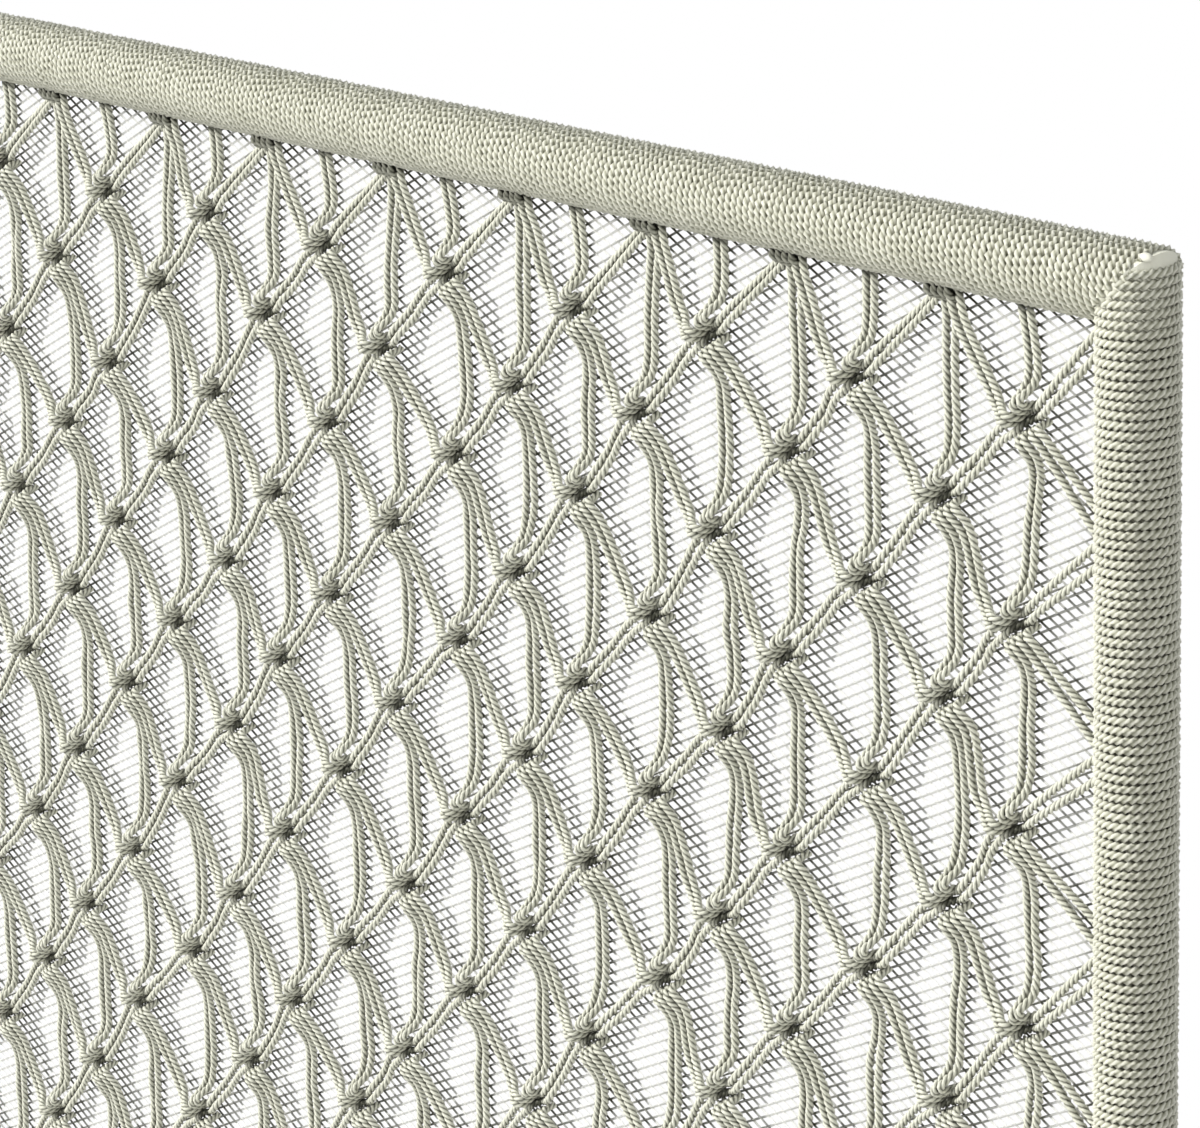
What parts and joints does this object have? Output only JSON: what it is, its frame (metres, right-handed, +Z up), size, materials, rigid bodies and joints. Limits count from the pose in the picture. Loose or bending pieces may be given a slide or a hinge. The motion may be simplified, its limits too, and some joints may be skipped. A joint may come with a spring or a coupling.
{
  "type": "knotted cord net panel",
  "caption": "Rectangular screen panel: knotted cord net strung in a cord-wrapped tube frame, with a fine expanded metal sheet behind it.",
  "frame": {"origin": "centre of the panel at the foot of its two threaded bosses", "axes": "+X along the rails to the right, +Y to the back of the panel where the metal sheet is, +Z up"},
  "size_m": [1.0486, 0.035, 0.7787],
  "materials": {
    "frame_paint": "satin powder coat in pale sage",
    "boss_steel": "turned, zinc plated",
    "mesh_metal": "off-white powder coat on expanded metal",
    "wrap_cord": "pale sage laid cord, close wound",
    "net_cord": "pale sage laid cord, knotted"
  },
  "bodies": {
    "root": {"top_rail_tube": "frame_paint", "bottom_rail_tube": "frame_paint", "left_post_tube": "frame_paint", "right_post_tube": "frame_paint", "top_rail_wrap": "wrap_cord", "bottom_rail_wrap": "wrap_cord", "left_post_wrap": "wrap_cord", "right_post_wrap": "wrap_cord", "left_mount_boss": "boss_steel", "right_mount_boss": "boss_steel", "mesh_panel": "mesh_metal", "knots_row_01": "net_cord", "knots_row_02": "net_cord", "knots_row_03": "net_cord", "knots_row_04": "net_cord", "knots_row_05": "net_cord", "knots_row_06": "net_cord", "knots_row_07": "net_cord", "knots_row_08": "net_cord", "knots_row_09": "net_cord", "knots_row_10": "net_cord", "knots_row_11": "net_cord", "knots_row_12": "net_cord", "knots_row_13": "net_cord", "knots_row_14": "net_cord", "knots_row_15": "net_cord", "top_hitches": "net_cord", "bottom_hitches": "net_cord", "cords_row_01": "net_cord", "cords_row_02": "net_cord", "cords_row_03": "net_cord", "cords_row_04": "net_cord", "cords_row_05": "net_cord", "cords_row_06": "net_cord", "cords_row_07": "net_cord", "cords_row_08": "net_cord", "cords_row_09": "net_cord", "cords_row_10": "net_cord", "cords_row_11": "net_cord", "cords_row_12": "net_cord", "cords_row_13": "net_cord", "cords_row_14": "net_cord", "cords_row_15": "net_cord", "cords_row_16": "net_cord"}
  },
  "joints": []
}
